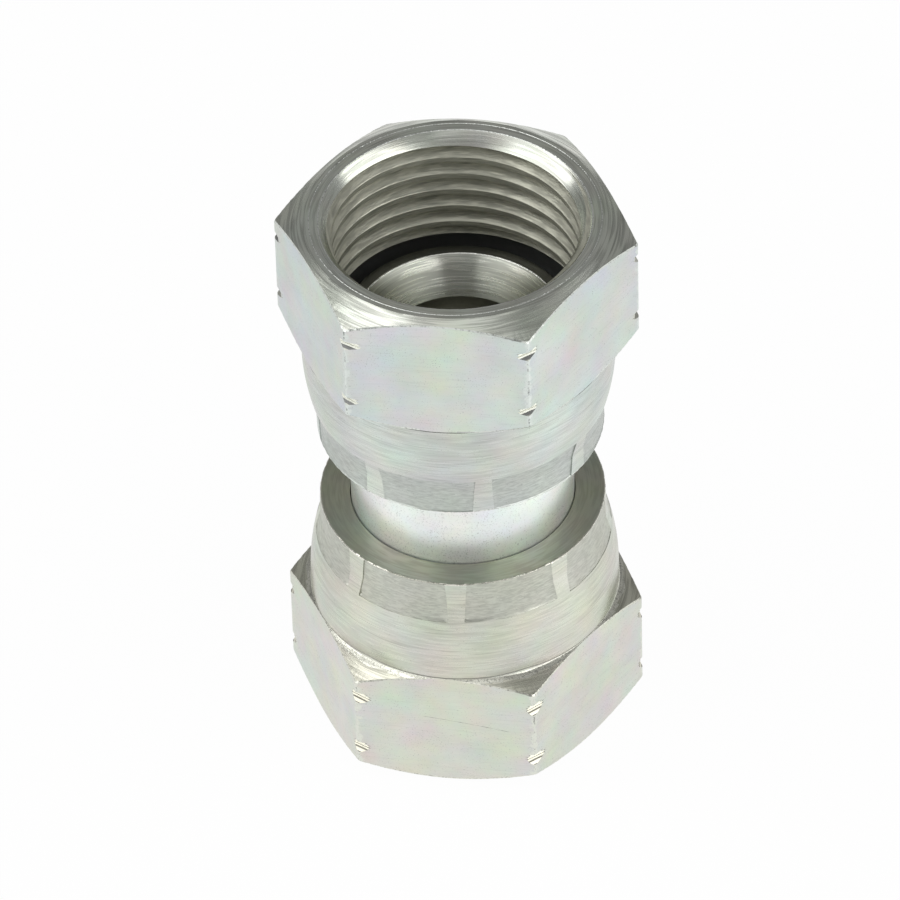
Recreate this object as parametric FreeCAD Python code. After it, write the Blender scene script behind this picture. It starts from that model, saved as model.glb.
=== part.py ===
"""Straight hydraulic adapter: a turned tube body with a crimped hex swivel nut on each end.

Each nut has a straight female thread and a skirt that is crimped behind a collar of the body, so it turns
freely. The body ends in a nose with a 37 degree conical seat inside each nut, and has a bore right through.
The thread is a plain bore at its minor diameter. Sizes are in millimetres and +Z runs along the axis. The
origin is the centre of the lower nut's mouth face, and depths are measured from a nut's own mouth face.
"""
import FreeCAD, Part
import math
import os

# Thread socket of each nut
thread_major_diameter = 26.99
thread_height = 1.045
thread_margin = 0.2
thread_socket_depth = 12.6
relief_length = 3.9
shoulder_length = 0.9

# Hexagon of each nut, with its wall measured from the thread's major diameter to a flat
hex_wall = 2.38
hex_corner_edge = 11.09
hex_chamfer_angle = 30.0
mouth_face_step = 0.775
skirt_step = 0.045
lower_nut_turn = -0.55

# Skirt of each nut
skirt_straight_length = 1.6
skirt_draw = 0.7
rim_wall = 3.06
rim_land = 2.15
rim_straight_length = 2.7
crimp_length = 4.7
crimp_taper = 0.08

# Crimp marks left by the closing jaws, with a rib standing between each two
crimp_marks = 8
crimp_mark_depth = 0.12
rib_width_at_rim = 2.2
rib_width_at_end = 1.6
upper_rib_angle = 16.2
lower_rib_angle = 4.85

# Nicks across the hex corners, as distances from the corner edge's mouth end and skirt end
upper_nick_setbacks = (1.85, 1.9)
lower_nick_setbacks = (2.5, 1.65)
nick_cut = 0.7
nick_height = 1.3
nick_ridge = 0.35

# Tube body, with its neck measured between the two rims
neck_length = 9.8
neck_step = 0.4
nose_gap = 0.65
nose_setback = 0.97
nose_land = 1.4
collar_lip = 1.2
collar_length = 3.8
collar_back_angle = 30.0
seat_width = 2.65
seat_angle = 37.0
edge_break = 0.3

# Clearances between the body and a nut
turning_clearance = 0.1
end_clearance = 0.15
nose_clearance = 0.35

# Overshoot of cutting shapes past the faces that they cut
past = 1.0

sides = 6
side_angle = 360.0 / sides
flat_radius = thread_major_diameter / 2.0 + hex_wall
corner_radius = flat_radius / math.cos(math.radians(side_angle / 2.0))
mouth_face_radius = flat_radius - mouth_face_step
skirt_radius = flat_radius - skirt_step
chamfer_rise = math.tan(math.radians(hex_chamfer_angle))
mouth_chamfer_height = (corner_radius - mouth_face_radius) * chamfer_rise
skirt_chamfer_height = (corner_radius - skirt_radius) * chamfer_rise
hex_length = mouth_chamfer_height + hex_corner_edge + skirt_chamfer_height

thread_minor_radius = thread_major_diameter / 2.0 - thread_height
relief_radius = thread_major_diameter / 2.0 + thread_margin
shoulder_depth = thread_socket_depth + relief_length
collar_depth = shoulder_depth + shoulder_length + end_clearance
collar_back_depth = collar_depth + collar_length

nose_radius = thread_minor_radius - nose_gap
nose_depth = thread_socket_depth + nose_setback
neck_radius = nose_radius - neck_step
collar_radius = nose_radius + collar_lip
seat_rim_radius = nose_radius - nose_land
bore_radius = seat_rim_radius - seat_width
seat_height = seat_width / math.tan(math.radians(seat_angle))

shoulder_radius = nose_radius + nose_clearance
counterbore_radius = collar_radius + turning_clearance
rim_bore_radius = neck_radius + turning_clearance
rim_radius = rim_bore_radius + rim_wall
collar_back_fall = math.tan(math.radians(collar_back_angle))
collar_back_shift = end_clearance / math.cos(math.radians(collar_back_angle))


def collar_slope(radius):
    """Depth at which the back slope of the collar has the given radius."""
    return collar_back_depth + (collar_radius - radius) / collar_back_fall


def crimped_slope(radius):
    """Depth at which the crimped inner wall of the nut has the given radius."""
    return collar_slope(radius - collar_back_shift)


nut_length = crimped_slope(rim_bore_radius) + rim_land
overall_length = 2.0 * nut_length + neck_length
crimp_bend_radius = rim_radius + crimp_taper
crimp_bend_depth = nut_length - rim_straight_length
crimp_start_radius = skirt_radius - skirt_draw
crimp_start_depth = nut_length - crimp_length


def turned(points):
    """Solid of revolution about Z from its half outline, given as (radius, height) points and arcs."""
    edges = []
    place = None
    first = None
    for item in points:
        if len(item) == 4:
            middle = FreeCAD.Vector(item[0], 0.0, item[1])
            end = FreeCAD.Vector(item[2], 0.0, item[3])
            edges.append(Part.Arc(place, middle, end).toShape())
        else:
            end = FreeCAD.Vector(item[0], 0.0, item[1])
            if place is not None:
                edges.append(Part.makeLine(place, end))
        if first is None:
            first = end
        place = end
    edges.append(Part.makeLine(place, first))
    outline = Part.Face(Part.Wire(edges))
    return outline.revolve(FreeCAD.Vector(0, 0, 0), FreeCAD.Vector(0, 0, 1), 360.0)


def skirt_arc():
    """Middle and end of the arc, straight at its start, that draws the skirt in to the crimp."""
    start = hex_length + skirt_straight_length
    length = crimp_start_depth - start
    arc_radius = (length ** 2 + skirt_draw ** 2) / (2.0 * skirt_draw)
    half_way = math.asin(length / arc_radius) / 2.0
    middle_radius = skirt_radius - arc_radius * (1.0 - math.cos(half_way))
    middle_depth = start + arc_radius * math.sin(half_way)
    return (middle_radius, middle_depth, crimp_start_radius, crimp_start_depth)


def nut_outside():
    """Hexagon with its two chamfers and the turned, drawn-in skirt, without a hole."""
    reach = corner_radius + past
    flare = past * chamfer_rise
    outline = turned([
        (0.0, 0.0),
        (mouth_face_radius, 0.0),
        (reach, mouth_chamfer_height + flare),
        (reach, hex_length - skirt_chamfer_height - flare),
        (skirt_radius, hex_length),
        (skirt_radius, hex_length + skirt_straight_length),
        skirt_arc(),
        (crimp_bend_radius, crimp_bend_depth),
        (rim_radius, nut_length),
        (0.0, nut_length),
    ])
    corners = []
    for number in range(sides + 1):
        angle = math.radians(side_angle * number)
        x = corner_radius * math.cos(angle)
        y = corner_radius * math.sin(angle)
        corners.append(FreeCAD.Vector(x, y, -past))
    hexagon = Part.Face(Part.makePolygon(corners))
    return outline.common(hexagon.extrude(FreeCAD.Vector(0, 0, nut_length + 2.0 * past)))


def nut_hole():
    """Everything inside the nut: countersink, thread bore, relief, shoulder, counterbore and crimped end."""
    return turned([
        (0.0, -past),
        (relief_radius + past, -past),
        (thread_minor_radius, relief_radius - thread_minor_radius),
        (thread_minor_radius, thread_socket_depth),
        (relief_radius, thread_socket_depth + relief_radius - thread_minor_radius),
        (relief_radius, shoulder_depth),
        (shoulder_radius, shoulder_depth),
        (shoulder_radius, shoulder_depth + shoulder_length),
        (counterbore_radius, shoulder_depth + shoulder_length),
        (counterbore_radius, crimped_slope(counterbore_radius)),
        (rim_bore_radius, crimped_slope(rim_bore_radius)),
        (rim_bore_radius, nut_length + past),
        (0.0, nut_length + past),
    ])


def rib(angle):
    """Trapezoid block, narrow towards the hexagon, that keeps the rib at an angle clear of the jaws."""
    far = crimp_start_depth - past
    widening = (rib_width_at_rim - rib_width_at_end) / crimp_length
    half_far = (rib_width_at_end - widening * past) / 2.0
    half_rim = (rib_width_at_rim + widening * past) / 2.0
    outline = Part.Face(Part.makePolygon([
        FreeCAD.Vector(0.0, -half_far, far),
        FreeCAD.Vector(0.0, half_far, far),
        FreeCAD.Vector(0.0, half_rim, nut_length + past),
        FreeCAD.Vector(0.0, -half_rim, nut_length + past),
        FreeCAD.Vector(0.0, -half_far, far),
    ]))
    block = outline.extrude(FreeCAD.Vector(corner_radius, 0, 0))
    block.rotate(FreeCAD.Vector(0, 0, 0), FreeCAD.Vector(0, 0, 1), angle)
    return block


def jaw_prints(first_rib_angle):
    """The shallow curved layer that the jaws press in, all round except at the ribs."""
    narrowing = crimp_taper * past / rim_straight_length
    layer = turned([
        (crimp_start_radius - crimp_mark_depth, crimp_start_depth),
        (corner_radius, crimp_start_depth),
        (corner_radius, nut_length + past),
        (rim_radius - crimp_mark_depth - narrowing, nut_length + past),
        (crimp_bend_radius - crimp_mark_depth, crimp_bend_depth),
    ])
    ribs = [rib(first_rib_angle + 360.0 * number / crimp_marks) for number in range(crimp_marks)]
    return layer.cut(Part.makeCompound(ribs))


def corner_nick(depth, angle):
    """Two V grooves with a low ridge between them, straight across the hex corner at an angle."""
    half_groove = nick_height / 4.0
    spread = 2.0 * half_groove + past * half_groove / nick_cut
    bottom = corner_radius - nick_cut
    side = -corner_radius / 4.0
    outline = Part.Face(Part.makePolygon([
        FreeCAD.Vector(corner_radius + past, side, depth - spread),
        FreeCAD.Vector(bottom, side, depth - half_groove),
        FreeCAD.Vector(bottom + nick_ridge, side, depth),
        FreeCAD.Vector(bottom, side, depth + half_groove),
        FreeCAD.Vector(corner_radius + past, side, depth + spread),
        FreeCAD.Vector(corner_radius + past, side, depth - spread),
    ]))
    groove = outline.extrude(FreeCAD.Vector(0, -2.0 * side, 0))
    groove.rotate(FreeCAD.Vector(0, 0, 0), FreeCAD.Vector(0, 0, 1), angle)
    return groove


def swivel_nut(first_rib_angle, nick_setbacks):
    """One nut standing on its mouth face, with a hex corner on +X."""
    nut = nut_outside().cut(nut_hole())
    nut = nut.cut(jaw_prints(first_rib_angle))
    edge_start = mouth_chamfer_height
    edge_end = mouth_chamfer_height + hex_corner_edge
    nick_depths = (edge_start + nick_setbacks[0], edge_end - nick_setbacks[1])
    nicks = [corner_nick(depth, side_angle * number) for depth in nick_depths for number in range(sides)]
    return nut.cut(Part.makeCompound(nicks))


def lower_nut():
    """The nut at the origin, turned a little against the upper one."""
    nut = swivel_nut(lower_rib_angle, lower_nick_setbacks)
    nut.rotate(FreeCAD.Vector(0, 0, 0), FreeCAD.Vector(0, 0, 1), lower_nut_turn)
    return nut


def upper_nut():
    """The same kind of nut, turned over about X so that its mouth is at the top."""
    nut = swivel_nut(-upper_rib_angle, upper_nick_setbacks)
    nut.rotate(FreeCAD.Vector(0, 0, 0), FreeCAD.Vector(1, 0, 0), 180.0)
    nut.translate(FreeCAD.Vector(0, 0, overall_length))
    return nut


def body_end():
    """Outline of the lower end of the body, from the seat's rim to the neck, as (radius, height) points."""
    return [
        (seat_rim_radius, nose_depth),
        (nose_radius - edge_break, nose_depth),
        (nose_radius, nose_depth + edge_break),
        (nose_radius, collar_depth),
        (collar_radius - edge_break, collar_depth),
        (collar_radius, collar_depth + edge_break),
        (collar_radius, collar_back_depth),
        (neck_radius, collar_slope(neck_radius)),
    ]


def tube_body():
    """Neck, two collars, two noses with their conical seats, and the bore, turned in one piece."""
    lower = body_end()
    upper = [(radius, overall_length - height) for radius, height in reversed(lower)]
    inside = [
        (bore_radius, overall_length - nose_depth - seat_height),
        (bore_radius, nose_depth + seat_height),
    ]
    return turned(lower + upper + inside)


os.makedirs("parts", exist_ok=True)
pieces = {"tube_body": tube_body(), "lower_swivel_nut": lower_nut(), "upper_swivel_nut": upper_nut()}
for name, solid in pieces.items():
    solid.exportStep(f"parts/{name}.step")
    box = solid.BoundBox
    print(f"{name}: {len(solid.Solids)} solid, {solid.Volume:.1f} mm3, z {box.ZMin:.2f} to {box.ZMax:.2f}")
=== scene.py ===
"""Visual model of a straight hydraulic adapter: a turned tube body with a crimped hex swivel nut on each end.

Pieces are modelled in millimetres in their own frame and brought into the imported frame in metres. A nut's own
frame has its mouth face at height 0, a hexagon corner on +X and its skirt towards +Z.
"""
import logging
import math
import random
from dataclasses import dataclass, field
from enum import Enum
from typing import Any, Callable, Iterable, Sequence

import bmesh
import bpy
from mathutils import Matrix, Vector, noise


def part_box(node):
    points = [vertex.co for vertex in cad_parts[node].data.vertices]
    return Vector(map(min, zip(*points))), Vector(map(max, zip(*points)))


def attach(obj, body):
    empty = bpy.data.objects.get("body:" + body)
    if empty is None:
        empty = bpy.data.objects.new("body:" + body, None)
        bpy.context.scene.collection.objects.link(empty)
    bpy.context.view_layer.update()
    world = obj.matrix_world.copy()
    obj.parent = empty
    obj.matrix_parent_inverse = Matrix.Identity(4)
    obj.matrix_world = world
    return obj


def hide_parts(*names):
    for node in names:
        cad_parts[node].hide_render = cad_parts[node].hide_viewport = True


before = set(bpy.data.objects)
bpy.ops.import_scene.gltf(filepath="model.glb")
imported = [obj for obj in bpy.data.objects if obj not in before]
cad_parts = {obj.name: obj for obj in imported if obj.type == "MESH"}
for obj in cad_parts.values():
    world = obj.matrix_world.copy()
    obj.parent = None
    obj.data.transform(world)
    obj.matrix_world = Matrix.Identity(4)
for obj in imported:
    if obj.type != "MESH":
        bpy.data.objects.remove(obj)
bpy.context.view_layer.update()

log = logging.getLogger("adapter")

METRES = 0.001
SIDES = 6
FULL_TURN = 2.0 * math.pi
SPIN_SECTORS = 24
SHARP_ANGLE = math.radians(24.0)
# Distances in millimetres: under the first, points are one; the second is slack when heights are compared.
MERGED, HAIR = 1e-4, 1e-6
# Size of a normal's part along the axis, from 0 on an upright wall to 1 on a level face.
SOFT_TILT, WALL_TILT, BURR_TILT, STEEP_TILT, FACE_TILT = 0.05, 0.1, 0.72, 0.84, 0.99
# Near-black painted shade laid along the long scores, standing in for the shade in their grooves.
SCORE_SHADE = (0.05, 0.05, 0.04, 1.0)
# Near-black painted shade of small pits, scattered over torn and burnished edges.
TORN_PIT_SHADE = (0.08, 0.08, 0.07, 1.0)
WHITE = (1.0, 1.0, 1.0, 1.0)
FINE_SHARE, BROAD_SHARE, SPECK_SHARE, INWARD_SHARE = 0.6, 0.4, 0.6, 0.2
CLOUD_SIZE, SPECK_SIZE = 4.5, 0.13
# Factors that darken or brighten a finish's own colour.
SHADED, SOILED, WORN = 0.45, 0.50, 1.10
NUMBER, VECTOR, COLOUR = "NodeSocketFloat", "NodeSocketVector", "NodeSocketColor"
Point = tuple[float, float]
Shell = bmesh.types.BMesh
Socket = bpy.types.NodeSocket


class Zone(Enum):
    """Kinds of surface on the adapter, each with its own finish."""

    FLAT = "hexagon_flat"
    BURR = "burnished_edge"
    CHAMFER = "turned_chamfer"
    MOUTH = "turned_mouth"
    THREAD = "cut_thread"
    HOLLOW = "shaded_hollow"
    SKIRT = "turned_skirt"
    RIM = "crimped_rim"
    PRINT = "jaw_print"
    NICK = "gripped_nick"
    TORN = "torn_edge"
    LIP = "bright_lip"
    NECK = "turned_neck"
    NOSE = "turned_nose"
    SEAT = "conical_seat"
    BORE = "drilled_bore"


class Marks(Enum):
    """Direction in which a tool's marks are stacked, as the share of the radius in it."""

    ALONG_HEIGHT = 0.0
    ALONG_SLOPE = 0.5
    ALONG_RADIUS = 1.0


NUT_ZONES = (Zone.FLAT, Zone.BURR, Zone.CHAMFER, Zone.MOUTH, Zone.THREAD, Zone.HOLLOW, Zone.SKIRT, Zone.RIM,
             Zone.PRINT, Zone.NICK, Zone.TORN, Zone.LIP)
BODY_ZONES = (Zone.NECK, Zone.NOSE, Zone.SEAT, Zone.BORE, Zone.HOLLOW, Zone.LIP)


class NodeSheet:
    """Fills a shader node tree, one node at a time."""

    def __init__(self, tree: bpy.types.NodeTree) -> None:
        """Starts on an existing tree.

        Args:
            tree: the node tree to fill.
        """
        self.tree = tree

    def add(self, kind: str, inputs: dict[str | int, Any] | None = None, **settings: Any) -> bpy.types.Node:
        """Adds a node.

        Args:
            kind: Blender's name for the node type.
            inputs: values or sockets to connect, by input name or number.
            settings: the node's own properties.

        Returns:
            The new node.
        """
        node = self.tree.nodes.new(kind)
        for name, value in settings.items():
            setattr(node, name, value)
        for name, value in (inputs or {}).items():
            if isinstance(value, Socket):
                self.tree.links.new(value, node.inputs[name])
            else:
                node.inputs[name].default_value = value
        return node

    def math(self, operation: str, *values: Any) -> Socket:
        """Result of one arithmetic step on values or sockets."""
        return self.add("ShaderNodeMath", dict(enumerate(values)), operation=operation).outputs[0]

    def vector(self, operation: str, first: Any, second: Any = None) -> Socket:
        """Result of one vector step, a number for LENGTH and DISTANCE; SCALE takes a number second."""
        place = 3 if operation == "SCALE" else 1
        inputs = {0: first} if second is None else {0: first, place: second}
        node = self.add("ShaderNodeVectorMath", inputs, operation=operation)
        return node.outputs["Value" if operation in ("LENGTH", "DISTANCE") else "Vector"]

    def split(self, vector: Any) -> bpy.types.NodeOutputs:
        """Sockets of a vector's three parts."""
        return self.add("ShaderNodeSeparateXYZ", {0: vector}).outputs

    def merge(self, *parts: Any) -> Socket:
        """Vector socket with the given parts."""
        return self.add("ShaderNodeCombineXYZ", dict(enumerate(parts))).outputs[0]

    def noise(self, place: Any, scale: Any, detail: float, roughness: float = 0.5) -> bpy.types.NodeOutputs:
        """Outputs of a noise texture."""
        inputs = {"Vector": place, "Scale": scale, "Detail": detail, "Roughness": roughness}
        return self.add("ShaderNodeTexNoise", inputs).outputs

    def ramp(self, value: Any, low: float, high: float, start: float = 0.0, end: float = 1.0) -> Any:
        """Socket that goes smoothly from start to end while value goes from low to high."""
        inputs = {"Value": value, "From Min": low, "From Max": high, "To Min": start, "To Max": end}
        return self.add("ShaderNodeMapRange", inputs, interpolation_type="SMOOTHSTEP").outputs["Result"]

    def mix(self, factor: Any, first: Any, second: Any) -> Socket:
        """Colour socket that goes from a first colour to a second."""
        return self.add("ShaderNodeMix", {0: factor, 6: first, 7: second}, data_type="RGBA").outputs[2]


def emptied(owner: bpy.types.Material | bpy.types.World) -> NodeSheet:
    """Sheet on the emptied node tree of a material or world."""
    owner.use_nodes = True
    owner.node_tree.nodes.clear()
    return NodeSheet(owner.node_tree)


def new_group(name: str, inputs: dict[str, str], outputs: dict[str, str]) -> tuple[NodeSheet, Any, Any]:
    """Starts a shader node group.

    Args:
        name: the group's name.
        inputs: socket type of each input, by name.
        outputs: socket type of each output, by name.

    Returns:
        The sheet to fill, the group's inputs as sockets, and its output node.
    """
    tree = bpy.data.node_groups.new(name, "ShaderNodeTree")
    for way, sockets in (("INPUT", inputs), ("OUTPUT", outputs)):
        for socket, kind in sockets.items():
            tree.interface.new_socket(socket, in_out=way, socket_type=kind)
    sheet = NodeSheet(tree)
    return sheet, sheet.add("NodeGroupInput").outputs, sheet.add("NodeGroupOutput").inputs


def turning_marks_group() -> bpy.types.NodeTree:
    """Grooves that a lathe tool leaves round the axis, in coordinates of millimetres.

    Returns:
        A group with fine and broad marks from 0 to 1, and a mask of a few long scores.
    """
    inputs = {"Vector": VECTOR, "Radius Share": NUMBER, "Pitch": NUMBER, "Streak": NUMBER}
    outputs = {"Fine": NUMBER, "Broad": NUMBER, "Scores": NUMBER}
    sheet, given, result = new_group("turning_marks", inputs, outputs)
    x, y, height = sheet.split(given["Vector"])
    flat = sheet.merge(x, y)
    radius = sheet.vector("LENGTH", flat)
    on_radius = sheet.math("MULTIPLY", radius, given["Radius Share"])
    on_height = sheet.math("MULTIPLY", height, sheet.math("SUBTRACT", 1.0, given["Radius Share"]))
    stacked = sheet.math("ADD", on_radius, on_height)
    around = sheet.math("DIVIDE", radius, given["Streak"])
    spread = sheet.vector("SCALE", sheet.vector("NORMALIZE", flat), around)
    x, y, _ = sheet.split(spread)
    for name, widening, detail in (("Fine", 1.0, 1.2), ("Broad", 4.0, 1.5)):
        across = sheet.math("DIVIDE", stacked, sheet.math("MULTIPLY", given["Pitch"], widening))
        marks = sheet.noise(sheet.merge(x, y, across), 1.0, detail, 0.6)["Fac"]
        sheet.tree.links.new(marks, result[name])
    lines_per_millimetre, stretch = 6.5, 0.8
    x, y, _ = sheet.split(sheet.vector("SCALE", spread, stretch))
    place = sheet.merge(x, y, sheet.math("MULTIPLY", stacked, lines_per_millimetre))
    lines = sheet.ramp(sheet.noise(place, 1.0, 0.5)["Fac"], 0.60, 0.72)
    sheet.tree.links.new(lines, result["Scores"])
    return sheet.tree


def clouded_tint_group() -> bpy.types.NodeTree:
    """Faint rose, blue, green and yellow clouds of a clear zinc coating.

    Returns:
        A group that tints a colour.
    """
    inputs = {"Vector": VECTOR, "Color": COLOUR, "Size": NUMBER, "Strength": NUMBER}
    sheet, given, result = new_group("clouded_tint", inputs, {"Color": COLOUR})
    scale = sheet.math("DIVIDE", 1.0, given["Size"])
    clouds = sheet.noise(given["Vector"], scale, 4.0)["Color"]
    centred = sheet.vector("SUBTRACT", clouds, (0.5, 0.5, 0.5))
    factor = sheet.vector("ADD", sheet.vector("SCALE", centred, given["Strength"]), (1.0, 1.0, 1.0))
    sheet.tree.links.new(sheet.vector("MULTIPLY", given["Color"], factor), result["Color"])
    return sheet.tree


def specks_group() -> bpy.types.NodeTree:
    """Small dark pits and specks of dirt, scattered and of uneven size.

    Returns:
        A group with a mask that is 1 in a speck.
    """
    inputs = {"Vector": VECTOR, "Size": NUMBER, "Amount": NUMBER}
    sheet, given, result = new_group("specks", inputs, {"Mask": NUMBER})
    fine = sheet.math("DIVIDE", 1.0, given["Size"])
    spots = sheet.noise(given["Vector"], fine, 1.0)["Fac"]
    patches = sheet.math("MULTIPLY", sheet.noise(given["Vector"], 0.35, 1.0)["Fac"], 0.12)
    level = sheet.math("SUBTRACT", 0.86, given["Amount"])
    over = sheet.math("SUBTRACT", sheet.math("ADD", spots, patches), level)
    sheet.tree.links.new(sheet.ramp(over, 0.0, 0.03), result["Mask"])
    return sheet.tree


def corner_wear_group() -> bpy.types.NodeTree:
    """Handling wear along the hexagon's six corners, from the angle round the axis.

    Returns:
        A group with a mask that is 1 on a corner and breaks up away from it, and a mask of dark dots on it.
    """
    inputs = {"Vector": VECTOR, "Width": NUMBER}
    sheet, given, result = new_group("corner_wear", inputs, {"Mask": NUMBER, "Dots": NUMBER})
    place, width = given["Vector"], given["Width"]
    x, y, _ = sheet.split(place)
    turns = sheet.math("MULTIPLY", sheet.math("ARCTAN2", y, x), SIDES / FULL_TURN)
    nearest = sheet.math("SUBTRACT", turns, sheet.math("ROUND", turns))
    away = sheet.math("MULTIPLY", sheet.math("ABSOLUTE", nearest), FULL_TURN / SIDES)
    distance = sheet.math("MULTIPLY", away, sheet.vector("LENGTH", sheet.merge(x, y)))
    grain = sheet.ramp(sheet.noise(place, 1.6, 4.0)["Fac"], 0.3, 0.7)
    near = sheet.math("DIVIDE", sheet.math("SUBTRACT", sheet.math("MULTIPLY", grain, width), distance), width)
    sheet.tree.links.new(sheet.ramp(near, -0.35, 0.25), result["Mask"])
    bits = sheet.noise(place, 2.1, 4.0, 0.7)["Fac"]
    clear = sheet.ramp(sheet.noise(place, 0.45, 0.0)["Fac"], 0.42, 0.58, 0.12, 0.0)
    dotted = sheet.ramp(sheet.math("SUBTRACT", bits, clear), 0.46, 0.62)
    core = sheet.ramp(distance, 0.16, 0.03)
    sheet.tree.links.new(sheet.math("MULTIPLY", dotted, core), result["Dots"])
    return sheet.tree


@dataclass(frozen=True)
class Finish:
    """How one kind of surface is finished.

    Attributes:
        zone: the kind of surface.
        colour: linear base colour.
        roughness: mean roughness.
        marks: direction in which the tool's marks are stacked.
        pitch: spacing of the finest marks, in millimetres.
        streak: length of a mark round the axis, in millimetres.
        groove: height of the marks, in millimetres.
        contrast: share of the colour that the marks take away.
        anisotropy: stretch of the highlights across the marks.
        tint: strength of the coating's colour clouds.
        specks: how many specks there are.
        grain: height of the fine grain, in millimetres.
        wear: width of the wear along hexagon corners, in millimetres.
        scores: share of the colour that the painted shade of long scores takes away.
        patches: share of the colour that painted shade of small pits in torn metal takes away.
        metal: share of bare metal, the rest being a pale matt coating.
    """

    zone: Zone
    colour: tuple[float, float, float]
    roughness: float
    marks: Marks = Marks.ALONG_HEIGHT
    pitch: float = 0.12
    streak: float = 6.0
    groove: float = 0.0
    contrast: float = 0.0
    anisotropy: float = 0.0
    tint: float = 0.0
    specks: float = 0.0
    grain: float = 0.0
    wear: float = 0.0
    scores: float = 0.0
    patches: float = 0.0
    metal: float = 1.0


HEIGHT, SLOPE, RADIUS = Marks.ALONG_HEIGHT, Marks.ALONG_SLOPE, Marks.ALONG_RADIUS
FINISHES = (
    Finish(Zone.FLAT, (0.668, 0.702, 0.664), 0.30, HEIGHT, 0.30, 3.0, 0.001, 0.03, tint=0.38, specks=0.13,
           grain=0.002, wear=0.5, scores=0.05),
    Finish(Zone.BURR, (0.70, 0.72, 0.67), 0.28, grain=0.02, patches=0.45),
    Finish(Zone.CHAMFER, (0.72, 0.735, 0.65), 0.24, RADIUS, 0.22, 5.0, 0.022, 0.60, 0.45, tint=0.12,
           scores=0.22),
    Finish(Zone.MOUTH, (0.72, 0.735, 0.65), 0.24, RADIUS, 0.16, 5.0, 0.014, 0.45, 0.45, tint=0.16,
           scores=0.25),
    Finish(Zone.THREAD, (0.560, 0.552, 0.455), 0.34, HEIGHT, 0.13, 2.2, 0.036, 0.50, 0.2, grain=0.024,
           scores=0.25, metal=0.62),
    Finish(Zone.HOLLOW, (0.30, 0.30, 0.29), 0.50, grain=0.01),
    Finish(Zone.SKIRT, (0.645, 0.672, 0.618), 0.29, HEIGHT, 0.13, 3.5, 0.005, 0.18, 0.70, tint=0.26,
           specks=0.09, scores=0.16),
    # The crimped rim is painted far darker than the skirt: painted shade, standing in for the shadow that the
    # upper nut casts on the lower rim.
    Finish(Zone.RIM, (0.385, 0.408, 0.352), 0.48, RADIUS, 0.20, 3.0, 0.006, 0.24, 0.3, tint=0.30,
           grain=0.006, metal=0.85),
    Finish(Zone.PRINT, (0.570, 0.595, 0.552), 0.40, HEIGHT, 0.055, 0.9, 0.008, 0.34, tint=0.10, grain=0.006,
           specks=0.11),
    Finish(Zone.NICK, (0.66, 0.66, 0.58), 0.30, grain=0.012),
    Finish(Zone.TORN, (0.80, 0.82, 0.76), 0.24, HEIGHT, 0.16, 4.0, 0.026, 0.55, grain=0.010, patches=0.40),
    Finish(Zone.LIP, (0.80, 0.81, 0.76), 0.24, RADIUS, 0.16, 0.3, 0.045, 0.0, grain=0.030, patches=0.40),
    Finish(Zone.NECK, (0.910, 0.945, 0.900), 0.33, HEIGHT, 0.20, 5.0, 0.003, 0.04, tint=0.30, specks=0.17,
           grain=0.004, metal=0.80),
    # The nose is painted far darker than the seat: painted shade of its place deep inside the nut.
    Finish(Zone.NOSE, (0.22, 0.22, 0.20), 0.32, RADIUS, 0.15, 5.0, 0.010, 0.20, 0.3),
    Finish(Zone.SEAT, (0.73, 0.75, 0.67), 0.29, SLOPE, 0.15, 5.0, 0.018, 0.55, 0.85, tint=0.10, scores=0.25),
    Finish(Zone.BORE, (0.42, 0.42, 0.36), 0.40, HEIGHT, 0.30, 8.0, 0.010, 0.15),
)


def opaque(colour: Sequence[float], factor: float = 1.0) -> tuple[float, ...]:
    """A colour for a socket, made darker or brighter by a factor."""
    return (*(min(1.0, factor * channel) for channel in colour), 1.0)


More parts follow.
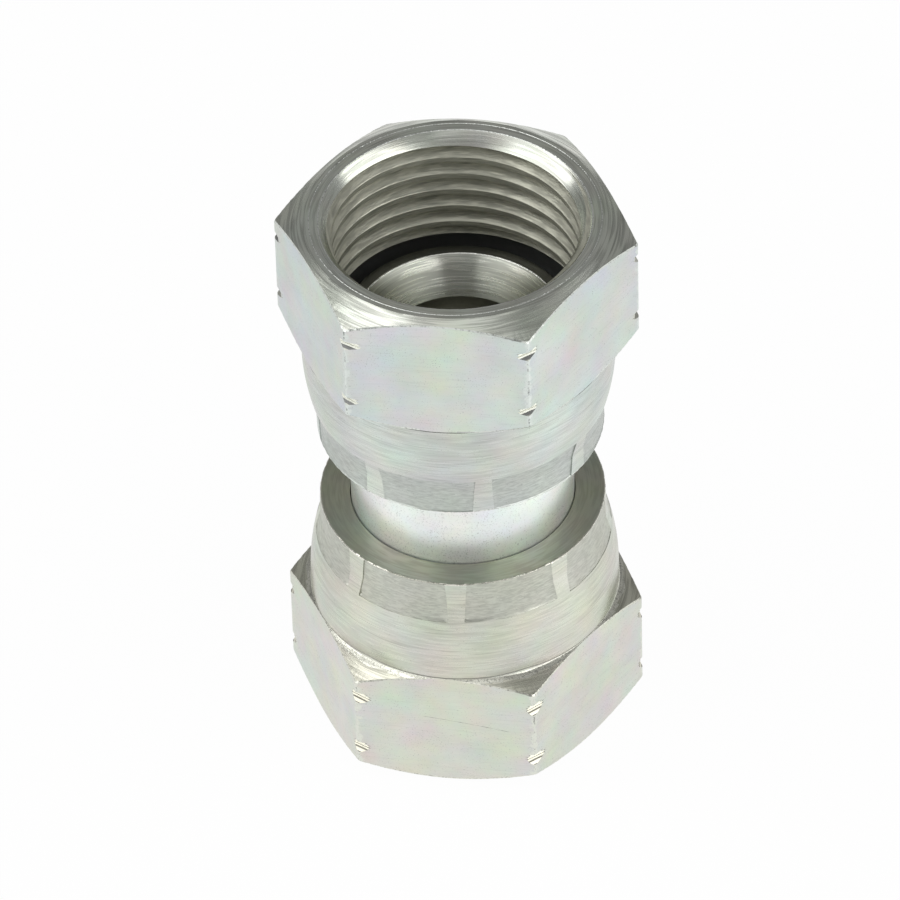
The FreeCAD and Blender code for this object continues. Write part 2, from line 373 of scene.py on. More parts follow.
@dataclass
class Finisher:
    """Makes the materials of one piece.

    Attributes:
        piece: the piece's name, which its materials carry.
        placing: turn about X and Z and rise, in radians and metres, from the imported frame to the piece's own.
        offset: shift of the patterns, in millimetres, so that no two pieces have the same marks.
        cast: factors on red, green and blue that give the piece its own cast.
        groups: the shared node groups, by name.
    """

    piece: str
    placing: tuple[float, float, float]
    offset: float
    cast: tuple[float, float, float]
    groups: dict[str, bpy.types.NodeTree]

    def coordinates(self, sheet: NodeSheet) -> Socket:
        """Object coordinates in the piece's own frame, in millimetres.

        Args:
            sheet: the material's node sheet.

        Returns:
            The coordinates as a socket.
        """
        turn_over, turn, rise = self.placing
        place = sheet.add("ShaderNodeTexCoord").outputs["Object"]
        settings = {"Vector": place, "Location": (0.0, 0.0, rise), "Rotation": (turn_over, 0.0, turn)}
        own = sheet.add("ShaderNodeMapping", settings, vector_type="POINT").outputs[0]
        return sheet.vector("SCALE", own, 1.0 / METRES)

    def use(self, sheet: NodeSheet, group: str, inputs: dict[str, Any]) -> bpy.types.NodeOutputs:
        """Outputs of a shared group placed in a sheet with its own values."""
        return sheet.add("ShaderNodeGroup", inputs, node_tree=self.groups[group]).outputs

    def material(self, finish: Finish) -> bpy.types.Material:
        """Makes the material of one kind of surface.

        Args:
            finish: the surface's finish.

        Returns:
            The material.
        """
        material = bpy.data.materials.new(f"{self.piece}_{finish.zone.value}")
        sheet = emptied(material)
        own = self.coordinates(sheet)
        place = sheet.vector("ADD", own, (0.0, 0.0, self.offset))
        inputs = {"Vector": place, "Radius Share": finish.marks.value, "Pitch": finish.pitch,
                  "Streak": finish.streak}
        marks = self.use(sheet, "turning_marks", inputs)
        both = sheet.math("ADD", sheet.math("MULTIPLY", marks["Fine"], FINE_SHARE),
                          sheet.math("MULTIPLY", marks["Broad"], BROAD_SHARE))
        base = [channel * factor for channel, factor in zip(finish.colour, self.cast)]
        colour = opaque(base)
        if finish.tint:
            inputs = {"Vector": place, "Color": colour, "Size": CLOUD_SIZE, "Strength": finish.tint}
            colour = self.use(sheet, "clouded_tint", inputs)["Color"]
        layers = []
        if finish.contrast:
            layers.append((sheet.ramp(both, 0.57, 0.42, 0.0, finish.contrast), opaque(base, SHADED)))
        if finish.wear:
            worn = self.use(sheet, "corner_wear", {"Vector": own, "Width": finish.wear})
            layers += [(worn["Mask"], opaque(base, WORN)), (worn["Dots"], opaque(base, SHADED))]
        if finish.scores:
            # Painted shade: the long scores are darkened towards near black.
            layers.append((sheet.math("MULTIPLY", marks["Scores"], finish.scores), SCORE_SHADE))
        # Painted shade of pits: scattered bits of the colour are darkened towards near black.
        if finish.patches:
            bits = sheet.noise(place, 4.5, 2.0)["Fac"]
            layers.append((sheet.ramp(bits, 0.52, 0.64, 0.0, finish.patches), TORN_PIT_SHADE))
        if finish.specks:
            inputs = {"Vector": place, "Size": SPECK_SIZE, "Amount": finish.specks}
            spots = self.use(sheet, "specks", inputs)["Mask"]
            layers.append((sheet.math("MULTIPLY", spots, SPECK_SHARE), opaque(base, SOILED)))
        for mask, over in layers:
            colour = sheet.mix(mask, colour, over)
        grain = sheet.noise(place, 5.0, 3.0)["Fac"]
        spread = min(0.05, 0.005 + 0.12 * finish.contrast)
        roughness = sheet.ramp(both, 0.35, 0.65, finish.roughness + spread, finish.roughness - spread)
        height = sheet.math("ADD", sheet.math("MULTIPLY", both, finish.groove),
                            sheet.math("MULTIPLY", grain, finish.grain))
        bump = sheet.add("ShaderNodeBump", {"Height": height, "Strength": 1.0, "Distance": METRES})
        inputs = {"Base Color": colour, "Metallic": finish.metal, "Roughness": roughness,
                  "Normal": bump.outputs[0], "Anisotropic": finish.anisotropy, "Anisotropic Rotation": 0.25}
        surface = sheet.add("ShaderNodeBsdfPrincipled", inputs)
        sheet.add("ShaderNodeOutputMaterial", {"Surface": surface.outputs[0]})
        return material

    def materials(self, zones: Iterable[Zone]) -> list[bpy.types.Material]:
        """Materials for the given zones, in their order."""
        chosen = {finish.zone: finish for finish in FINISHES}
        return [self.material(chosen[zone]) for zone in zones]


def off_axis(point: Vector) -> float:
    """Distance of a point from the Z axis."""
    return math.hypot(point.x, point.y)


def rotation(degrees: float, axis: str) -> Matrix:
    """Rotation about one axis."""
    return Matrix.Rotation(math.radians(degrees), 4, axis)


def outward(shell: Shell) -> None:
    """Turns the faces of a closed shell outward."""
    bmesh.ops.recalc_face_normals(shell, faces=shell.faces[:])


def moved(shell: Shell, matrix: Matrix) -> Shell:
    """The same shell brought elsewhere."""
    bmesh.ops.transform(shell, matrix=matrix, verts=shell.verts[:])
    return shell


def only(kind: type, items: Iterable[Any]) -> list[Any]:
    """Those parts of a step's result that are of one kind."""
    return [item for item in items if isinstance(item, kind)]


def swept(shell: Shell, angle: float, steps: int, sweeps: int, rise: float = 0.0) -> list[Any]:
    """Sweeps a wire round Z and then copies what it swept, one sweep after another.

    Args:
        shell: the shell, which holds only the wire.
        angle: the turn of one sweep.
        steps: how many steps one sweep has.
        sweeps: how many sweeps there are in all.
        rise: the height gained in one sweep.

    Returns:
        The wire's edges at the end of the first sweep.
    """
    about = {"cent": (0, 0, 0), "axis": (0, 0, 1)}
    turned = bmesh.ops.spin(shell, geom=shell.verts[:] + shell.edges[:], dvec=(0, 0, rise / steps),
                            angle=angle, steps=steps, **about)
    last = only(bmesh.types.BMEdge, turned["geom_last"])
    if sweeps > 1:
        bmesh.ops.spin(shell, geom=shell.verts[:] + shell.edges[:] + shell.faces[:], dvec=(0, 0, rise),
                       angle=angle * (sweeps - 1), steps=sweeps - 1, use_duplicate=True, **about)
        bmesh.ops.remove_doubles(shell, verts=shell.verts[:], dist=MERGED)
    return last


def spun(outline: Sequence[Point], steps: int, angle: float = FULL_TURN, start: float = 0.0) -> Shell:
    """Turns a closed outline about Z into a closed shell.

    Args:
        outline: (radius, height) points, in order.
        steps: how many steps the turn has.
        angle: the turn; a part turn gets a face at each end.
        start: angle at which the turn starts.

    Returns:
        The shell.
    """
    shell = bmesh.new()
    ring = [shell.verts.new((radius, 0.0, height)) for radius, height in outline]
    wire = [shell.edges.new(pair) for pair in zip(ring, ring[1:] + ring[:1])]
    bmesh.ops.rotate(shell, verts=ring, cent=(0, 0, 0), matrix=Matrix.Rotation(start, 3, "Z"))
    sectors = SPIN_SECTORS if angle >= FULL_TURN else 1
    last = swept(shell, angle / sectors, steps // sectors, sectors)
    if sectors == 1:
        for edges in (wire, last):
            bmesh.ops.contextual_create(shell, geom=edges)
    outward(shell)
    return shell


def stepped(points: Sequence[Point], longest: float) -> list[Point]:
    """The same open run of points with none of its stretches longer than a limit."""
    run = [points[0]]
    for (radius, height), (next_radius, next_height) in zip(points, points[1:]):
        cuts = max(1, math.ceil(math.hypot(next_radius - radius, next_height - height) / longest))
        for cut in range(1, cuts + 1):
            share = cut / cuts
            run.append((radius + share * (next_radius - radius), height + share * (next_height - height)))
    return run


def soften_rings(shell: Shell, rings: Sequence[Point], width: float) -> None:
    """Rounds the turned edges that run through given (radius, height) points.

    Args:
        shell: the turned shell.
        rings: where the edges are.
        width: width of the rounding.
    """
    ring_of = {}
    for vertex in shell.verts:
        for number, (radius, height) in enumerate(rings):
            if abs(vertex.co.z - height) < MERGED and abs(off_axis(vertex.co) - radius) < MERGED:
                ring_of[vertex] = number
    chosen = {edge for vertex in ring_of for edge in vertex.link_edges
              if ring_of.get(edge.other_vert(vertex)) == ring_of[vertex]}
    bmesh.ops.bevel(shell, geom=list(chosen), offset=width, affect="EDGES", segments=2, profile=0.5,
                    material=-1)


def paint(shell: Shell, zones: Sequence[Zone], zone_of: Callable[..., Zone]) -> None:
    """Gives each face of a turned shell the slot number of its zone.

    Args:
        shell: the shell.
        zones: the piece's zones, in the order of its slots.
        zone_of: gives the zone at a radius and height, from the tilt of the normal to the axis and whether it
            points inward.
    """
    for face in shell.faces:
        centre = face.calc_center_median()
        radius = off_axis(centre)
        inward = face.normal.x * centre.x + face.normal.y * centre.y < -INWARD_SHARE * radius
        face.material_index = zones.index(zone_of(radius, centre.z, abs(face.normal.z), inward))


def coated(shell: Shell, zone: Zone) -> Shell:
    """The same shell with every face in the slot that a nut has for a zone."""
    for face in shell.faces:
        face.material_index = NUT_ZONES.index(zone)
    return shell


def linked(name: str, data: bpy.types.ID) -> bpy.types.Object:
    """A new object in the scene that holds the given data."""
    thing = bpy.data.objects.new(name, data)
    bpy.context.scene.collection.objects.link(thing)
    return thing


def solid(shell: Shell, name: str, materials: Iterable[bpy.types.Material]) -> bpy.types.Object:
    """A new object in the scene with a shell as its mesh, which is freed, and its material slots."""
    mesh = bpy.data.meshes.new(name)
    shell.to_mesh(mesh)
    shell.free()
    for material in materials:
        mesh.materials.append(material)
    return linked(name, mesh)


def outcome(thing: bpy.types.Object) -> bpy.types.Mesh:
    """A new mesh of an object with its modifiers worked in."""
    depsgraph = bpy.context.evaluated_depsgraph_get()
    return bpy.data.meshes.new_from_object(thing.evaluated_get(depsgraph), depsgraph=depsgraph)


def joined(shells: Sequence[Shell]) -> Shell:
    """One shell that holds copies of several, which are freed."""
    whole = bmesh.new()
    for shell in shells:
        part = bpy.data.meshes.new("part")
        shell.to_mesh(part)
        shell.free()
        whole.from_mesh(part)
        bpy.data.meshes.remove(part)
    return whole


def carved(blank: Shell, cutters: Shell, materials: list[Any]) -> Shell:
    """Cuts closed shells out of a blank.

    Args:
        blank: the shell to cut, which is freed.
        cutters: the shells to take away, which are freed.
        materials: the slots that both sides use.

    Returns:
        The cut shell, with the cutters' material numbers on the new faces.
    """
    holders = [solid(shell, "rough", materials) for shell in (blank, cutters)]
    cut = holders[0].modifiers.new("cut", "BOOLEAN")
    cut.operation = "DIFFERENCE"
    cut.solver = "EXACT"
    cut.material_mode = "INDEX"
    cut.object = holders[1]
    mesh = outcome(holders[0])
    result = bmesh.new()
    result.from_mesh(mesh)
    for holder in holders:
        rough = holder.data
        bpy.data.objects.remove(holder)
        bpy.data.meshes.remove(rough)
    bpy.data.meshes.remove(mesh)
    bmesh.ops.remove_doubles(result, verts=result.verts[:], dist=0.1 * MERGED)
    bmesh.ops.dissolve_degenerate(result, edges=result.edges[:], dist=0.1 * MERGED)
    outward(result)
    return result


def finished(shell: Shell, name: str, placing: Matrix, materials: list[Any]) -> bpy.types.Object:
    """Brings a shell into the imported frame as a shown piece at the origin.

    Edges are shaded sharp where they turn far enough, and all round the surfaces in the first slot.

    Args:
        shell: the shell in millimetres, which is freed.
        name: the piece's name.
        placing: from the piece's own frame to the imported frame.
        materials: the piece's material slots.

    Returns:
        The piece.
    """
    moved(shell, placing)
    loose = sum(1 for edge in shell.edges if not edge.is_manifold)
    for edge in shell.edges:
        slots = {face.material_index for face in edge.link_faces}
        edge.smooth = edge.calc_face_angle(0.0) < SHARP_ANGLE and (len(slots) == 1 or 0 not in slots)
    for face in shell.faces:
        face.smooth = True
    piece = solid(shell, name, materials)
    even = piece.modifiers.new("even_shading", "WEIGHTED_NORMAL")
    even.keep_sharp = True
    shaded = outcome(piece)
    piece.modifiers.clear()
    rough = piece.data
    piece.data = shaded
    bpy.data.meshes.remove(rough)
    shaded.name = name
    triangles = sum(len(polygon.vertices) - 2 for polygon in shaded.polygons)
    log.info("%s: %d triangles, %d open edges", name, triangles, loose)
    return piece


@dataclass
class SwivelNut:
    """Hex swivel nut with a female thread and a crimped skirt, in its own frame and in millimetres.

    Attributes:
        node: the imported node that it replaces.
        body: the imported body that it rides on.
        turned_over: whether its mouth is at the top of the adapter.
        turn: turn of its hexagon about its own axis, in degrees.
        rib_angle: angle of its first crimp rib, in degrees.
        nick_setbacks: distances of the nicks from the ends of a corner edge.
        nick_teeth: how many teeth's lines a nick has.
        nick_height: height of a nick.
        nick_depth: depth of a nick below the sharp corner.
        seed: start of its random irregularities.
        cast: factors on red, green and blue that give it its own cast.
        scored: whether one of its flats has a long fine score.
    """

    node: str
    body: str
    turned_over: bool
    turn: float
    rib_angle: float
    nick_setbacks: tuple[float, float]
    nick_teeth: int
    nick_height: float
    nick_depth: float
    seed: int
    cast: tuple[float, float, float]
    scored: bool
    flat_radius: float
    length: float
    total: float

    major_radius: float = 13.495
    minor_radius: float = 12.45
    pitch: float = 2.117
    root_flat: float = 0.265
    crest_break: float = 0.11
    thread_flank: float = 30.0
    thread_start: float = -1.80
    thread_run_out: float = 2.0
    thread_inset: float = 0.15
    socket_depth: float = 12.6
    relief_radius: float = 13.695
    shoulder_depth: float = 16.5
    shoulder_length: float = 0.9
    shoulder_radius: float = 12.15
    counterbore_radius: float = 13.1
    rim_bore_radius: float = 11.5
    rim_land: float = 2.15
    inner_slope: float = 30.0

    mouth_step: float = 0.775
    skirt_step: float = 0.045
    chamfer_angle: float = 30.0
    corner_edge: float = 11.09
    corner_rounding: float = 0.5
    corner_crowding: float = 0.8
    edge_width: float = 0.13
    ring_mark: float = 14.62
    ring_mark_half: float = 0.05
    ring_mark_depth: float = 0.03
    waver_scale: float = 1.9
    burr_waver: float = 0.060
    burr_steps: float = 0.055
    feed: float = 0.31
    foot_radius: float = 0.42
    foot_squash: float = 0.2
    foot_band: float = 0.50
    line_depth: float = 0.07
    line_width: float = 0.10
    line_waver: float = 0.03

    skirt_straight: float = 1.6
    skirt_draw: float = 0.7
    crimp_length: float = 4.7
    crimp_taper: float = 0.08
    rim_straight: float = 2.7
    rim_wall: float = 3.06
    rim_lip: float = 0.20
    rim_edge: float = 0.35
    rim_crest: float = 0.19
    rim_waver: float = 0.045
    rim_lift: float = 0.06
    softening: float = 0.07
    lip_softening: float = 0.13

    marks: int = 8
    mark_depth: float = 0.09
    mark_corner_depth: float = 0.12
    mark_corner_size: float = 0.45
    mark_spread: Point = (0.75, 1.25)
    mark_lift: float = 0.12
    mark_grain: float = 0.012
    mark_waver: float = 0.10
    mark_ramp: float = 0.35
    rib_at_rim: float = 2.2
    rib_at_end: float = 1.6
    mark_end_ramp: float = 0.3
    mark_end_share: float = 0.25
    mark_proud: float = 0.04
    nick_spread: Point = (0.88, 1.12)
    nick_tilt: float = 8.0
    nick_twist: Point = (2.0, 10.0)
    nick_aside: float = 0.15
    nick_along: float = 0.12
    tooth_depth: float = 0.16
    tooth_shape: tuple[float, float, float] = (0.0, 0.40, 0.54)
    score_radius: float = 120.0
    score_length: float = 8.8
    score_fall: float = 8.4
    score_place: Point = (2.2, 8.4)
    score_width: float = 0.05
    score_depth: float = 0.02
    score_rate: float = 1.1
    score_least: float = 0.25
    score_gain: float = 1.5

    steps: int = 576
    thread_steps: int = 120
    print_steps: int = 64
    score_steps: int = 24
    fine_stretch: float = 0.7
    stretch: float = 0.8
    crimp_stretch: float = 0.35
    print_stretch: float = 0.25
    hole_stretch: float = 2.0

    def __post_init__(self) -> None:
        """Works out the sizes that follow from the others."""
        self.rise = math.tan(math.radians(self.chamfer_angle))
        self.corner_radius = self.flat_radius / math.cos(math.pi / SIDES)
        self.mouth_radius = self.flat_radius - self.mouth_step
        self.skirt_radius = self.flat_radius - self.skirt_step
        self.mouth_chamfer = (self.corner_radius - self.mouth_radius) * self.rise
        self.skirt_chamfer = (self.corner_radius - self.skirt_radius) * self.rise
        self.hex_length = self.mouth_chamfer + self.corner_edge + self.skirt_chamfer
        self.rim_radius = self.rim_bore_radius + self.rim_wall
        self.crimp_start = self.length - self.crimp_length
        self.crimp_bend = self.length - self.rim_straight
        self.foot_sweep = math.radians(90.0 - self.chamfer_angle)
        self.foot_size = self.foot_radius * math.tan(self.foot_sweep / 2.0)
        self.foot_top = self.hex_length + self.foot_size
        self.rng = random.Random(self.seed)

    def foot(self) -> list[Point]:
        """Points of the hollow arc where the skirt meets its chamfer, from the chamfer up."""
        count = 5
        centre = self.skirt_radius + self.foot_radius
        angles = [math.pi + self.foot_sweep * (1.0 - step / count) for step in range(count + 1)]
        return [(centre + self.foot_radius * math.cos(angle),
                 self.foot_top + self.foot_radius * math.sin(angle)) for angle in angles]

    def skirt_arc(self) -> list[Point]:
        """Points of the arc that draws the skirt in, straight at its start."""
        start = self.hex_length + self.skirt_straight
        reach = self.crimp_start - start
        bend = (reach ** 2 + self.skirt_draw ** 2) / (2.0 * self.skirt_draw)
        full = math.asin(reach / bend)
        count = 9
        return [(self.skirt_radius - bend * (1.0 - math.cos(full * step / count)),
                 start + bend * math.sin(full * step / count)) for step in range(count + 1)]

    def crimp(self) -> list[Point]:
        """Points of the crimped outside, from the start of the jaw prints to the rim."""
        start_radius = self.skirt_radius - self.skirt_draw
        bend_radius = self.rim_radius + self.crimp_taper
        lip_radius = self.rim_radius + self.crimp_taper * self.rim_lip / self.rim_straight
        return [(start_radius, self.crimp_start), (bend_radius, self.crimp_bend),
                (lip_radius, self.length - self.rim_lip), (self.rim_radius, self.length)]

    def outline(self) -> list[Point]:
        """Closed half outline of the round blank, up the outside and back down the hole."""
        edge = self.edge_width
        near_edge = edge * self.rise
        corner = self.corner_radius
        chamfer_end = self.mouth_chamfer
        skirt_start = self.hex_length - self.skirt_chamfer
        mark, half_mark = self.ring_mark, self.ring_mark_half
        mouth = [(self.relief_radius, 0.0), (mark - half_mark, 0.0), (mark, self.ring_mark_depth),
                 (mark + half_mark, 0.0), (self.mouth_radius, 0.0), (corner - edge, chamfer_end - near_edge)]
        flats = [(corner, chamfer_end + edge), (corner, skirt_start - edge)]
        foot = self.foot()
        back = stepped([(corner - edge, skirt_start + near_edge), foot[0]], self.fine_stretch) + foot[1:]
        line = (self.skirt_radius - self.line_depth, self.foot_top + self.line_width / 2.0)
        line_end = (self.skirt_radius, self.foot_top + self.line_width)
        straight_end = (self.skirt_radius, self.hex_length + self.skirt_straight)
        skirt = [line] + stepped([line_end, straight_end], self.fine_stretch)
        slope = math.tan(math.radians(self.inner_slope))
        land = self.length - self.rim_land
        crimped = land - (self.counterbore_radius - self.rim_bore_radius) / slope
        relief_start = self.socket_depth + self.relief_radius - self.minor_radius
        counterbore_start = self.shoulder_depth + self.shoulder_length
        hole = [(self.rim_radius, self.length), (self.rim_radius - self.rim_edge, self.length),
                (self.rim_bore_radius, self.length), (self.rim_bore_radius, land),
                (self.counterbore_radius, crimped), (self.counterbore_radius, counterbore_start),
                (self.shoulder_radius, counterbore_start), (self.shoulder_radius, self.shoulder_depth),
                (self.relief_radius, self.shoulder_depth), (self.relief_radius, relief_start),
                (self.minor_radius, self.socket_depth),
                (self.minor_radius, self.relief_radius - self.minor_radius), (self.relief_radius, 0.0)]
        outside = (stepped(mouth, self.stretch) + stepped(flats, self.stretch) + back + skirt
                   + self.skirt_arc()[1:] + stepped(self.crimp(), self.crimp_stretch)[1:])
        return outside + stepped(hole, self.hole_stretch)[1:-1]

    def hexagon_radius(self, angle: float) -> float:
        """Distance from the axis to the hexagon with rounded corners at an angle."""
        step = FULL_TURN / SIDES
        off = abs((angle + step / 2.0) % step - step / 2.0)
        centre = self.corner_radius - self.corner_rounding / math.cos(math.pi / SIDES)
        tangent = math.atan2(0.5 * self.corner_rounding, centre + math.cos(step / 2.0) * self.corner_rounding)
        if off > tangent:
            return self.flat_radius / math.cos(step / 2.0 - off)
        return centre * math.cos(off) + math.sqrt(self.corner_rounding ** 2 - (centre * math.sin(off)) ** 2)

    def plane_hexagon(self, shell: Shell) -> None:
        """Draws the blank's spokes closer at the corners and its outside in to the hexagon."""
        chamfer_end = self.mouth_chamfer
        skirt_start = self.hex_length - self.skirt_chamfer
        for vertex in shell.verts:
            radius, height = off_axis(vertex.co), vertex.co.z
            angle = math.atan2(vertex.co.y, vertex.co.x)
            angle -= self.corner_crowding / SIDES * math.sin(SIDES * angle)
            reach = self.hexagon_radius(angle)
            mouth_share = (reach - self.mouth_radius) / (self.corner_radius - self.mouth_radius)
            skirt_share = (reach - self.skirt_radius) / (self.corner_radius - self.skirt_radius)
            above_foot = height - self.foot_top
            if radius > self.mouth_radius and height < chamfer_end:
                radius = self.mouth_radius + (radius - self.mouth_radius) * mouth_share
                height *= mouth_share
            elif radius > self.skirt_radius + HAIR and skirt_start < height and above_foot < -HAIR:
                least = self.foot_squash if height > self.hex_length else 0.0
                height = self.hex_length + (height - self.hex_length) * max(skirt_share, least)
                radius = self.skirt_radius + (radius - self.skirt_radius) * skirt_share
            elif -HAIR < above_foot < self.line_width + HAIR and radius > self.relief_radius + 1.0:
                height -= self.foot_size * (1.0 - max(skirt_share, self.foot_squash))
            elif radius > self.skirt_radius + self.foot_radius:
                radius = reach
                share = (height - chamfer_end) / (skirt_start - chamfer_end)
                mouth_end = chamfer_end * mouth_share
                skirt_end = self.hex_length - self.skirt_chamfer * skirt_share
                height = mouth_end + share * (skirt_end - mouth_end)
            vertex.co = (radius * math.cos(angle), radius * math.sin(angle), height)

    def zone_of(self, radius: float, height: float, tilt: float, inward: bool) -> Zone:
        """Kind of surface at a place on the uncut nut.

        Args:
            radius: distance from the axis.
            height: depth from the mouth face.
            tilt: size of the normal's part along the axis.
            inward: whether the normal points to the axis.

        Returns:
            The zone.
        """
        outer = radius > self.rim_radius - 0.8 * self.lip_softening
        if height > self.length - self.rim_lip and outer and not inward:
            return Zone.LIP
        if height < 0.06 and radius < self.mouth_radius - 0.1 and tilt < 0.999:
            return Zone.LIP
        near_bore = radius < self.rim_bore_radius + 0.1
        if height > self.length - self.rim_land and (inward or tilt > 0.8 or near_bore):
            return Zone.RIM
        if radius < self.relief_radius + 0.02 and inward and height < self.socket_depth:
            flared = height < self.relief_radius - self.minor_radius and tilt > 0.3
            return Zone.MOUTH if flared else Zone.THREAD
        if inward or (radius < self.relief_radius and self.socket_depth < height < self.crimp_start):
            return Zone.HOLLOW
        if abs(height - self.hex_length) < self.foot_band and radius < self.skirt_radius + self.foot_band:
            if radius < self.skirt_radius - 0.003:
                return Zone.HOLLOW
            if radius > self.skirt_radius + 0.06 and tilt > SOFT_TILT:
                return Zone.TORN
            if height < self.hex_length:
                return Zone.BURR if tilt > SOFT_TILT else Zone.FLAT
            return Zone.SKIRT
        if height > self.hex_length - MERGED and radius < self.skirt_radius + 1e-3:
            return Zone.SKIRT
        if tilt < BURR_TILT:
            return Zone.FLAT if tilt < WALL_TILT else Zone.BURR
        return Zone.MOUTH if tilt > FACE_TILT else Zone.CHAMFER

    def ruffle(self, shell: Shell) -> None:
        """Leaves the burnished hexagon edges and the rim's edge slightly ragged."""
        for vertex in shell.verts:
            zones = {NUT_ZONES[face.material_index] for face in vertex.link_faces}
            radius = off_axis(vertex.co)
            grain = vertex.co * self.waver_scale + Vector((self.seed, 0.0, 0.0))
            on_lip = Zone.LIP in zones and Zone.RIM not in zones
            if Zone.BURR in zones:
                shift = self.burr_steps * (radius / self.feed % 1.0 - 0.5)
                shift += self.burr_waver * noise.noise(grain)
                past_flat = (radius - self.flat_radius) / (self.corner_radius - self.flat_radius)
                shift *= min(1.0, max(0.1, 0.15 + 3.0 * past_flat))
                if Zone.FLAT in zones:
                    vertex.co.z += shift
                else:
                    vertex.co.xy *= 1.0 + 0.5 * shift / radius
            elif Zone.HOLLOW in zones and radius > self.relief_radius + 1.0:
                vertex.co.z += self.line_waver * noise.noise(grain * 0.5)
            elif on_lip and vertex.co.z > self.length - self.rim_crest:
                lift = self.rim_lift * noise.noise(grain * 1.7)
                vertex.co.xy *= 1.0 + self.rim_waver * noise.noise(grain) / radius
                vertex.co.z += lift

    def tap(self) -> Shell:
        """The thread's grooves as one closed right-handed screw, from before the mouth into the relief."""
        core = self.minor_radius - self.thread_inset
        half_root = self.root_flat / 2.0
        crest = self.minor_radius + self.crest_break
        half_crest = half_root + (self.major_radius - crest) * math.tan(math.radians(self.thread_flank))
        half_core = half_crest + crest - core
        profile = [(core, -self.pitch / 2.0), (core, -half_core), (crest, -half_crest),
                   (self.major_radius, -half_root), (self.major_radius, half_root), (crest, half_crest),
                   (core, half_core), (core, self.pitch / 2.0)]
        turns = math.ceil((self.socket_depth + self.thread_run_out) / self.pitch) + 1
        start = self.thread_start
        screw = bmesh.new()
        chain = [screw.verts.new((radius, 0.0, start + height)) for radius, height in profile]
        for pair in zip(chain, chain[1:]):
            screw.edges.new(pair)
        swept(screw, FULL_TURN, self.thread_steps, turns, self.pitch)
        middle = start + turns * self.pitch / 2.0
        for below in (True, False):
            rim = [edge for edge in screw.edges if edge.is_boundary
                   and (sum(vertex.co.z for vertex in edge.verts) / 2.0 < middle) == below]
            capped = bmesh.ops.extrude_edge_only(screw, edges=rim)["geom"]
            tips = only(bmesh.types.BMVert, capped)
            height = start - self.pitch / 2.0 if below else start + (turns + 0.5) * self.pitch
            bmesh.ops.pointmerge(screw, verts=tips, merge_co=(0.0, 0.0, height))
        outward(screw)
        return coated(screw, Zone.THREAD)

    def jaw_print(self, number: int) -> Shell:
        """The shallow layer that one jaw pressed in, deeper at its ends and dimpled at its far corners."""
        past = 1.0
        outer = self.skirt_radius + past
        tail = (self.rim_radius - self.crimp_taper * past / self.rim_straight, self.length + past)
        inner = stepped(self.crimp(), self.print_stretch) + [tail]
        outline = inner + [(outer, self.length + past), (outer, self.crimp_start)]
        span = FULL_TURN / self.marks
        centre = math.radians(self.rib_angle) + (number + 0.5) * span
        shell = spun(outline, self.print_steps, span, centre - span / 2.0)
        uneven = self.rng.uniform(*self.mark_spread)
        lift = self.rng.uniform(-self.mark_lift, self.mark_lift)
        crisp = self.rng.choice((-1.0, 1.0))
        for vertex in shell.verts:
            radius = off_axis(vertex.co)
            angle = math.atan2(vertex.co.y, vertex.co.x)
            share = ((angle - centre + math.pi) % FULL_TURN - math.pi) / (span / 2.0)
            along = (vertex.co.z - self.crimp_start) / self.crimp_length
            rib = self.rib_at_end + (self.rib_at_rim - self.rib_at_end) * along
            limit = span / 2.0 - math.asin(0.5 * rib / self.rim_radius)
            angle = centre + share * limit
            if radius < outer - 0.1:
                from_side = (1.0 - abs(share)) * limit * radius
                corner = math.hypot(from_side, along * self.crimp_length)
                dimple = math.exp(-(corner / self.mark_corner_size) ** 2)
                depth = self.mark_depth * uneven + self.mark_corner_depth * dimple
                if share * crisp < 0.0:
                    depth *= min(1.0, from_side / self.mark_ramp)
                depth *= min(1.0, self.mark_end_share + along * self.crimp_length / self.mark_end_ramp)
                if vertex.co.z > self.length - 0.7 * self.rim_lip:
                    depth = -self.mark_proud
                grain = noise.noise(Vector((6.0 * share, 2.0 * vertex.co.z, number)))
                radius -= depth + self.mark_grain * grain
            if along < HAIR:
                waver = noise.noise(Vector((3.0 * share, number, self.seed)))
                vertex.co.z += lift + self.mark_waver * waver
            vertex.co.xy = (radius * math.cos(angle), radius * math.sin(angle))
        return coated(shell, Zone.PRINT)

    def nick_outline(self, deepest: float) -> list[Point]:
        """Profile of a nick as depths below the corner and rises from its middle.

        Args:
            deepest: the greatest depth.

        Returns:
            The points from the lowest to the highest, out of the metal at both ends.
        """
        half = self.nick_height / 2.0
        out, flare = -0.6, 0.3
        tooth = self.nick_height / self.nick_teeth
        points = [(out, -half - flare)]
        for number in range(self.nick_teeth):
            low = -half + number * tooth
            floor = deepest * (1.0 - (low / half) ** 2)
            depths = (floor, floor + 0.5 * self.tooth_depth, floor + self.tooth_depth)
            points += [(depth, low + share * tooth) for depth, share in zip(depths, self.tooth_shape)]
        return points + [(0.0, half), (out, half + flare)]

